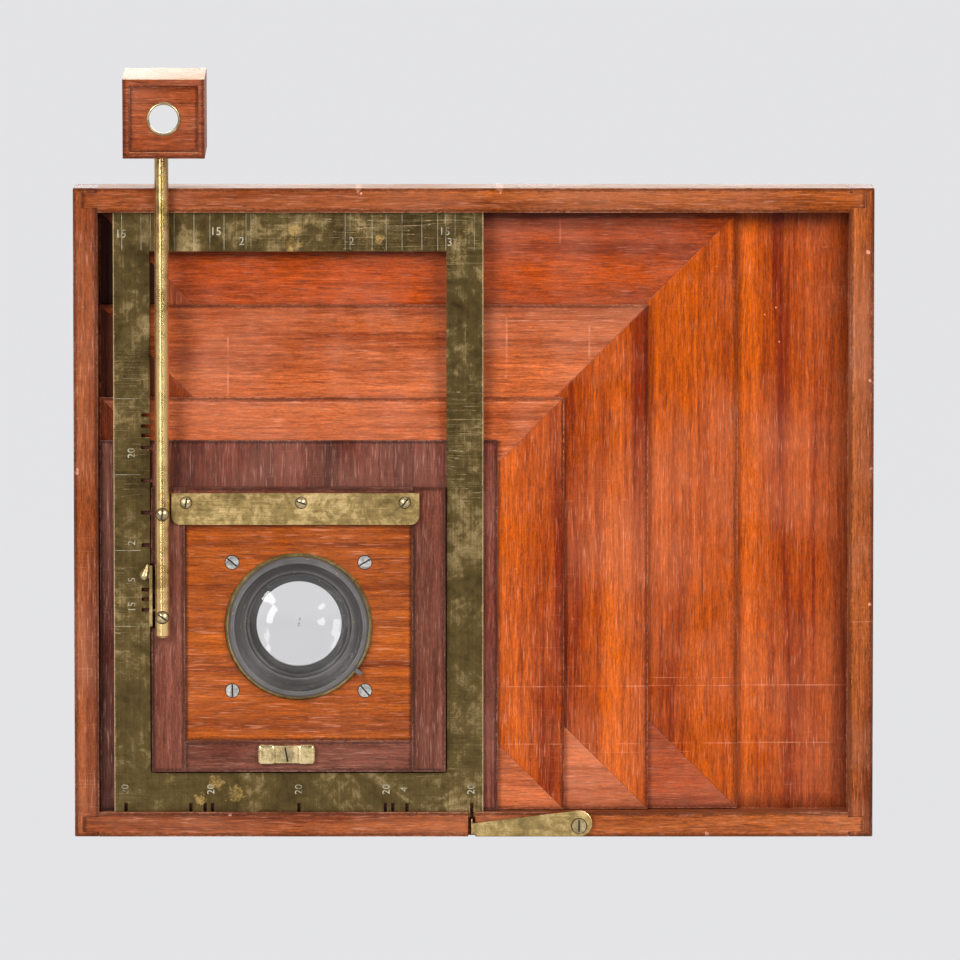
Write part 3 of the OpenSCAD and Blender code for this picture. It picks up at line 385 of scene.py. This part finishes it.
# Places seen from the front, x and z in mm: the lens axis, and screws with their slots' angle
LENS_AXIS = (-71.9, 86.7)
BOARD_SCREWS = [(-99.15, 60.25, 90), (-99.15, 113.15, 40), (-44.65, 60.25, 50),
                (-44.65, 113.15, -30)]
CLEAT_SCREWS = [(-117.9, 138.0, 100), (-70.7, 138.0, 20), (-28.2, 138.0, 130)]
ROD_SCREWS = [(-127.6, 91.1, 35), (-127.6, 133.5, 95)]
BUTTON_SCREWS = [(-76.9, 34.2, 80)]
LATCH_SCREWS = [(43.32, 4.7, 90)]


def heads(screws, radius):
    """The screws' places with the radius of the dark ring around their heads."""
    return [(x, z, radius) for x, z, _ in screws]


# Deep and light tones of each wood, then the grain's direction, a seed, the bloom on the
# polish and its wear
STILE = (0.15, 0.012, 0.0004), (0.52, 0.088, 0.001)
RAIL = (0.10, 0.009, 0.001), (0.38, 0.055, 0.004)
WIDE_RAIL = (0.17, 0.024, 0.004), (0.55, 0.125, 0.032)
DARK = (0.034, 0.006, 0.003), (0.17, 0.038, 0.022)
CARRIER = (0.060, 0.014, 0.007), (0.19, 0.054, 0.032)
BOARD = (0.10, 0.012, 0.001), (0.46, 0.098, 0.006)
RIM = (0.10, 0.015, 0.003), (0.37, 0.088, 0.016)
SHELL = (0.09, 0.013, 0.003), (0.34, 0.072, 0.018)

WOODS = {
    "front_left_stile": (RIM, "Z", 1.0, 0.35, 0.5),
    "front_right_stile": (RIM, "Z", 2.0, 0.5, 0.6),
    "front_top_rail": (RIM, "X", 3.0, 0.4, 0.5),
    "front_bottom_rail": (RIM, "X", 4.0, 0.3, 0.4),
    "fixed_frame_stiles": (STILE, "Z", 5.0, 0.30, 0.5),
    "fixed_frame_rails": (RAIL, "X", 6.0, 0.3, 0.4),
    "frame_1_stiles": (STILE, "Z", 7.0, 0.35, 0.5),
    "frame_1_rails": (RAIL, "X", 8.0, 0.45, 0.5),
    "frame_2_stiles": (STILE, "Z", 9.0, 0.30, 0.5),
    "frame_2_rails": (WIDE_RAIL, "X", 10.0, 0.65, 0.6),
    "frame_3_stiles": (STILE, "Z", 11.0, 0.15, 0.4),
    "frame_3_rails": (WIDE_RAIL, "X", 12.0, 0.5, 0.5),
    "baffle_panel": (DARK, "Z", 13.0, 0.35, 0.5),
    "carrier_left_stile": (CARRIER, "Z", 14.0, 0.2, 0.2),
    "carrier_right_stile": (CARRIER, "Z", 15.0, 0.2, 0.2),
    "carrier_top_rail": (CARRIER, "X", 16.0, 0.2, 0.2),
    "carrier_bottom_rail": (CARRIER, "X", 17.0, 0.25, 0.2),
    "lens_board": (BOARD, "X", 18.0, 0.12, 0.2),
    "finder_walls": (SHELL, "X", 19.0, 0.3, 0.2),
    "finder_front": (SHELL, "X", 20.0, 0.3, 0.2),
    "finder_back": (SHELL, "X", 21.0, 0.3, 0.2),
    "shell_left_wall": (SHELL, "Y", 22.0, 0.3, 0.3),
    "shell_right_wall": (SHELL, "Y", 23.0, 0.3, 0.3),
    "shell_top_wall": (SHELL, "X", 24.0, 0.3, 0.3),
    "bed": (SHELL, "X", 25.0, 0.3, 0.3),
    "rear_box_walls": (SHELL, "Y", 26.0, 0.2, 0.2),
    "plate_frame": (SHELL, "X", 27.0, 0.2, 0.2),
    "ground_glass_frame": (SHELL, "X", 28.0, 0.2, 0.2),
}

# Rub marks where frames slid over one another, chips, screws, painted shade at the frames' hidden
# left side and along their edges, and painted light on top faces
LEVEL = [(1, 61.2, -200, 200, 0.45), (1, 37.4, -60, 150, 0.4), (1, 33.8, -10, 90, 0.3)]
DETAILS = {
    "fixed_frame_stiles": {"shade_reach": 7.0, "rubs": LEVEL, "painted_shade_left": (-130, -120, 0.97),
                           "chips": [(124.2, 217.0, 0.45), (125.6, 203.0, 0.4),
                                     (119.5, 214.2, 0.3)]},
    "frame_1_stiles": {"shade_reach": 3.0, "rubs": LEVEL + [(1, 64.5, 60, 110, 0.3)],
                       "painted_shade_left": (-130, -120, 0.9)},
    "frame_2_stiles": {"rubs": LEVEL, "painted_shade_left": (-130, -120, 0.7)},
    "frame_3_stiles": {"rubs": LEVEL[:2], "painted_shade_left": (-150, -120, 0.35)},
    "frame_1_rails": {"shade_reach": 3.0, "rubs": [(0, 35.5, 243, 256, 0.7)]},
    "frame_2_rails": {"rubs": [(0, 47.5, 196, 218, 0.8), (0, 13.5, 188, 214, 0.8),
                               (0, -100.9, 180, 206, 0.8), (1, 212.0, 0, 60, 0.5)]},
    "frame_3_rails": {"rubs": [(1, 178.4, -150, 40, 0.5)]},
    "front_top_rail": {"gloss": 0.03, "top": 0.35,
                       "chips": [(-47.2, 266.6, 1.4), (10.7, 266.6, 1.6), (-46.0, 264.9, 0.6)]},
    "front_right_stile": {"chips": [(161.5, 241.0, 0.8), (162.4, 188.0, 0.9),
                                    (163.0, 152.0, 0.8), (162.5, 96.0, 0.6)]},
    "front_left_stile": {"chips": [(-162.8, 150.0, 0.9), (-162.5, 151.5, 0.6)]},
    "front_bottom_rail": {"chips": [(-100.0, 9.2, 0.7), (96.0, 1.2, 1.2)]},
    "finder_walls": {"gloss": 0.12, "top": 0.9},
    "shell_top_wall": {"gloss": 0.03, "top": 0.35},
    "lens_board": {"screws": heads(BOARD_SCREWS, 2.85)},
}



def dress(material, *names):
    """Gives nodes one material."""
    for name in names:
        NODES[name].data.materials.clear()
        NODES[name].data.materials.append(material)


for node_name, ((deep, light), grain, seed, haze, worn) in WOODS.items():
    dress(mahogany("wood_" + node_name, deep, light, grain, seed, haze, worn=worn,
                   edged=node_name, **DETAILS.get(node_name, {})), node_name)


SCREWED = {
    "cleat": heads(CLEAT_SCREWS, 2.35),
    "latch_lever": heads(LATCH_SCREWS, 3.1),
    "finder_rod": heads(ROD_SCREWS, 2.6),
}


def brasses(kind, names, **settings):
    """Dresses nodes in brass of one kind, each from its own place in the pattern."""
    dull, gold, dirt_and_painted_shade = kind
    for i, name in enumerate(names):
        dress(brass("brass_" + name, dull, gold, dirt_and_painted_shade, seed=3.0 * i + len(name),
                    screws=SCREWED.get(name, ()), **settings), name)


OLD = (0.15, 0.100, 0.034), (0.50, 0.36, 0.17), (0.03, 0.022, 0.010)
SHEET = (0.48, 0.33, 0.12), (0.80, 0.58, 0.28), (0.09, 0.06, 0.03)
SCREW = (0.50, 0.38, 0.20), (0.80, 0.64, 0.40), (0.10, 0.07, 0.04)
BRIGHT = (0.80, 0.60, 0.28), (0.95, 0.76, 0.44), (0.22, 0.14, 0.06)
ROD = (0.62, 0.40, 0.15), (0.84, 0.58, 0.26), (0.22, 0.14, 0.06)
STEEL = (0.62, 0.60, 0.56), (0.85, 0.83, 0.78), (0.20, 0.18, 0.16)
brasses(OLD, ["slide_plate"], gilt=0.45, dirt=0.6, scratch=0.9, cell=26.0, grain=(1400, 60, 40),
        edged="slide_plate",
        golden=[(-73.2, 249.5, 2.6), (-74.0, 243.6, 3.4), (-97.8, 17.5, 3.6), (-106.0, 22.0, 3.0),
                (-112.0, 15.5, 2.4), (-38.7, 246.4, 1.8), (-28.0, 128.0, 4.0)])
brasses(SHEET, ["cleat", "latch_lever", "latch_washer", "catch_spring", "hinge_fixed_leaves",
                "hinge_moving_leaves", "clamp_washer", "lens_flange"],
        gilt=0.6, dirt=0.5, cell=14.0)
brasses(SCREW, ["cleat_screws", "turn_button_screw", "finder_rod_screws", "latch_screw",
                "back_button_screw", "tripod_bush", "finder_eyelet", "catch_knob"],
        gilt=0.5, dirt=0.35, cell=6.0)
brasses(BRIGHT, ["turn_button", "back_button", "clamp_screw"], gilt=0.8, dirt=0.3, cell=9.0,
        rough=0.24, sheen=0.12)
brasses(ROD, ["finder_rod"], gilt=0.8, dirt=0.05, cell=40.0, rough=0.24, sheen=0.06,
        scratch=0.25, grain=(500, 500, 12))
brasses(STEEL, ["lens_board_screws"], gilt=0.6, dirt=0.3, cell=5.0, rough=0.3)
dress(lacquer("barrel_black", (0.030, 0.027, 0.025), 0.32, (0.35, 0.25, 0.11), LENS_AXIS),
      "lens_barrel", "retaining_ring")
dress(matt_black("tunnel_black"), "light_tunnel", "frame_2_runner", "frame_3_runner")
dress(clear_glass("lens_glass"), "front_glass", "rear_glass")
dress(ground("ground_glass"), "ground_glass")


# ---------------------------------------------------------------- softened edges

def soften(width, names, segments=2, angle=35):
    """Rounds the edges of CAD nodes: weld, dissolve flat triangles, bevel."""
    for name in names:
        piece = NODES[name]
        weld = piece.modifiers.new("weld", "WELD")
        weld.merge_threshold = 0.002 * MM
        flat = piece.modifiers.new("flat", "DECIMATE")
        flat.decimate_type = "DISSOLVE"
        flat.angle_limit = math.radians(0.5)
        bevel = piece.modifiers.new("bevel", "BEVEL")
        bevel.width = width * MM
        bevel.segments = segments
        bevel.limit_method = "ANGLE"
        bevel.angle_limit = math.radians(angle)
        bevel.use_clamp_overlap = True
        bevel.harden_normals = False


soften(0.5, ["front_left_stile", "front_right_stile", "front_top_rail", "front_bottom_rail",
             "shell_left_wall", "shell_right_wall", "shell_top_wall", "bed",
             "rear_box_walls", "plate_frame", "ground_glass_frame"])
soften(0.25, ["carrier_left_stile", "carrier_right_stile", "carrier_top_rail",
              "carrier_bottom_rail", "baffle_panel", "lens_board", "finder_walls",
              "finder_front", "finder_back", "frame_1_stiles", "frame_1_rails",
              "frame_2_stiles", "frame_2_rails", "frame_3_stiles", "frame_3_rails"])
soften(0.3, ["slide_plate", "cleat", "latch_lever", "back_button"])


# ---------------------------------------------------------------- engraving

def engraving():
    """Index lines and figures engraved in the brass plate, a hair above its face."""
    shaped = bmesh.new()
    low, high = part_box("slide_plate")
    face = low.y - 0.02 * MM
    middle = (low.x + high.x) / 2
    half = 0.09 * MM

    def line(x0, x1, z0, z1):
        corners = [shaped.verts.new((x, face, z)) for x, z in
                   ((x0, z0), (x1, z0), (x1, z1), (x0, z1))]
        shaped.faces.new(corners)

    def figures(text, x, z, height, turned=False):
        curve = bpy.data.curves.new("figures", "FONT")
        curve.body = text
        curve.size = height * 1.42 * MM
        curve.align_x, curve.align_y = "CENTER", "CENTER"
        curve.resolution_u = 3
        drawn = bpy.data.objects.new("figures", curve)
        bpy.context.scene.collection.objects.link(drawn)
        bpy.context.view_layer.update()
        mesh = bpy.data.meshes.new_from_object(
            drawn.evaluated_get(bpy.context.evaluated_depsgraph_get()))
        for vertex in mesh.vertices:
            u, v = vertex.co.x, vertex.co.y
            u, v = (-v, u) if turned else (u, v)
            vertex.co = (x * MM + u, face, z * MM + v)
        shaped.from_mesh(mesh)
        bpy.data.objects.remove(drawn)
        bpy.data.curves.remove(curve)
        bpy.data.meshes.remove(mesh)

    top0, top1 = 241.4 * MM, 256.6 * MM
    for offset in (0, 19.3, 21.3, 30.3, 36.1, 42.6, 50.7, 57.2, 60.5, 64.3, 72.2):
        for side in ((-1, 1) if offset else (1,)):
            x = middle + side * offset * MM
            line(x - half, x + half, top0, top1)
    for z in (86.6, 117.9, 149.1, 180.4):
        line(low.x + 0.5 * MM, low.x + 11.2 * MM, z * MM - half, z * MM + half)
    for text, x, z in (("15", -105.6, 249.0), ("15", -11.9, 249.0), ("2", -95.0, 245.0),
                       ("3", -9.8, 244.6), ("15", -144.5, 248.0), ("2", -50.0, 245.0)):
        figures(text, x, z, 3.3)
    for x in (-143.3, -108.0, -71.9, -35.9, -1.0):
        figures("20", x, 19.2, 3.0, True)
    figures("4", -28.5, 19.2, 3.0, True)
    for text, z in (("5", 105.8), ("2", 121.0), ("15", 94.6), ("20", 158.0)):
        figures(text, -140.3, z, 3.0, True)
    mesh = bpy.data.meshes.new("plate_marks")
    shaped.to_mesh(mesh)
    marks = bpy.data.objects.new("plate_marks", mesh)
    bpy.context.scene.collection.objects.link(marks)
    t = Tree("engraved_line")
    patchy = t.noise(t.place((160, 160, 160)), 1.0, 4.0, 0.7)
    base = t.mix(t.span(patchy, 0.35, 0.6), (0.10, 0.08, 0.035, 1), (0.42, 0.38, 0.27, 1))
    shader = t.node("ShaderNodeBsdfPrincipled", {
        "Base Color": base, "Roughness": t.span(patchy, 0.3, 0.7, 0.5, 0.7), "Metallic": 0.3,
        "Normal": t.bump(patchy, 0.2, 0.0001)})
    marks.data.materials.append(t.finish(shader.outputs[0]))
    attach(marks, "slide_plate")


engraving()


def slot_shade_and_dirt(piece_name, body, rows):
    """Black sheets on the floor of the screw slots of one body that face the front: painted shade
    in the slots, with dirt.

    A row gives the node, its screws, and half the length and the depth of their slots.
    """
    half_width, off_floor = 0.33, 0.03
    shaped = bmesh.new()
    for name, screws, half, depth in rows:
        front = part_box(name)[0].y + (depth - off_floor) * MM
        for x, z, angle in screws:
            turn = math.radians(angle)
            ux, uz = math.cos(turn), -math.sin(turn)
            corners = [(half * a * ux - half_width * b * uz, half * a * uz + half_width * b * ux)
                       for a, b in ((-1, -1), (1, -1), (1, 1), (-1, 1))]
            shaped.faces.new([shaped.verts.new(((x + u) * MM, front, (z + v) * MM))
                              for u, v in corners])
    bmesh.ops.recalc_face_normals(shaped, faces=shaped.faces[:])
    mesh = bpy.data.meshes.new(piece_name)
    shaped.to_mesh(mesh)
    dirt_and_painted_shade = bpy.data.objects.new(piece_name, mesh)
    bpy.context.scene.collection.objects.link(dirt_and_painted_shade)
    dirt_and_painted_shade.data.materials.append(matt_black("black_of_" + piece_name))
    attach(dirt_and_painted_shade, body)


# Black sheets in the screw slots: painted shade, with some dirt.
slot_shade_and_dirt("slot_shade_and_dirt", "carrier", [
    ("lens_board_screws", BOARD_SCREWS, 2.6, 0.5),
    ("cleat_screws", CLEAT_SCREWS, 2.0, 0.5),
    ("finder_rod_screws", ROD_SCREWS, 2.2, 0.55),
    ("turn_button_screw", BUTTON_SCREWS, 2.9, 0.6)])
slot_shade_and_dirt("latch_slot_shade_and_dirt", "root", [("latch_screw", LATCH_SCREWS, 2.4, 0.55)])


# ---------------------------------------------------------------- stage, light, camera

def studio():
    """A pale floor that runs up into a backdrop, the world and soft lights."""
    t = Tree("floor_pale")
    dust = t.noise(t.place((3, 3, 3)), 1.0, 2.0)
    tint = t.ramp(dust, [(0.3, (0.005, 0.005, 0.005)), (0.7, (0.006, 0.006, 0.006))])
    diffuse = t.node("ShaderNodeBsdfDiffuse", {"Color": tint})
    glow = t.node("ShaderNodeEmission", {"Color": (0.790, 0.790, 0.807, 1), "Strength": 0.975})
    both = t.node("ShaderNodeAddShader", {0: diffuse.outputs[0], 1: glow.outputs[0]})
    material = t.finish(both.outputs[0])
    mesh = bpy.data.meshes.new("floor")
    shaped = bmesh.new()
    front_edge, turn_start, turn_r, top, half_width = -0.9, 4.8, 1.4, 6.0, 6.0
    profile = [(front_edge, 0.0), (turn_start, 0.0)]
    profile += [(turn_start + turn_r * math.sin(a), turn_r - turn_r * math.cos(a))
                for a in [math.radians(6 * i) for i in range(1, 16)]]
    profile += [(turn_start + turn_r, top)]
    rows = [[shaped.verts.new((x, y, z)) for x in (-half_width, half_width)]
            for y, z in profile]
    for low, high in zip(rows, rows[1:]):
        shaped.faces.new((low[0], low[1], high[1], high[0]))
    shaped.to_mesh(mesh)
    for face in mesh.polygons:
        face.use_smooth = True
    floor = bpy.data.objects.new("floor", mesh)
    floor.data.materials.append(material)
    bpy.context.scene.collection.objects.link(floor)

    world = bpy.data.worlds.new("world")
    bpy.context.scene.world = world
    world.use_nodes = True
    tree = world.node_tree
    seen = tree.nodes.new("ShaderNodeLightPath").outputs["Is Camera Ray"]
    strength = tree.nodes.new("ShaderNodeMapRange")
    strength.inputs["To Min"].default_value = 0.06
    strength.inputs["To Max"].default_value = 0.80
    tree.links.new(seen, strength.inputs["Value"])
    tree.links.new(strength.outputs["Result"], tree.nodes["Background"].inputs["Strength"])
    tree.nodes["Background"].inputs["Color"].default_value = (0.96, 0.96, 0.98, 1)

    def softbox(name, place, aim, size, power, colour=(1, 1, 1)):
        light = bpy.data.lights.new(name, "AREA")
        light.shape = "RECTANGLE"
        light.size, light.size_y = size
        light.energy = power
        light.color = colour
        lamp = bpy.data.objects.new(name, light)
        bpy.context.scene.collection.objects.link(lamp)
        lamp.location = place
        lamp.rotation_euler = (Vector(aim) - Vector(place)).to_track_quat("-Z", "Y").to_euler()

    aim = (0, 0, 0.15)
    softbox("key_left", (-1.5, -2.0, 1.15), aim, (0.95, 0.95), 56)
    softbox("key_right", (1.5, -2.0, 1.15), aim, (0.95, 0.95), 50)
    softbox("strip_left", (-1.05, -2.4, 0.3), aim, (0.22, 1.0), 8)
    softbox("strip_right", (0.75, -2.6, 0.3), aim, (0.10, 1.0), 3)
    softbox("top", (0, -0.1, 1.9), aim, (1.6, 0.8), 9)
    softbox("back", (0, 1.2, 0.6), aim, (0.8, 0.3), 3)


def photograph():
    """The camera: 4.1 m away, looking 5 degrees down, framed as the photograph."""
    low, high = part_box("front_left_stile")
    front = low.y
    distance = 4.1
    pitch = math.radians(5.0)
    view_width = 0.3936
    target = Vector((0.0026, front, 0.1472))
    data = bpy.data.cameras.new("camera")
    data.sensor_width = 36
    data.lens = 36 * distance / view_width
    data.clip_start, data.clip_end = 0.1, 50
    camera = bpy.data.objects.new("camera", data)
    bpy.context.scene.collection.objects.link(camera)
    camera.location = target + Vector((0, -math.cos(pitch), math.sin(pitch))) * distance
    camera.rotation_euler = (math.pi / 2 - pitch, 0, 0)
    bpy.context.scene.camera = camera


studio()
photograph()
bpy.context.scene.view_settings.view_transform = "Standard"
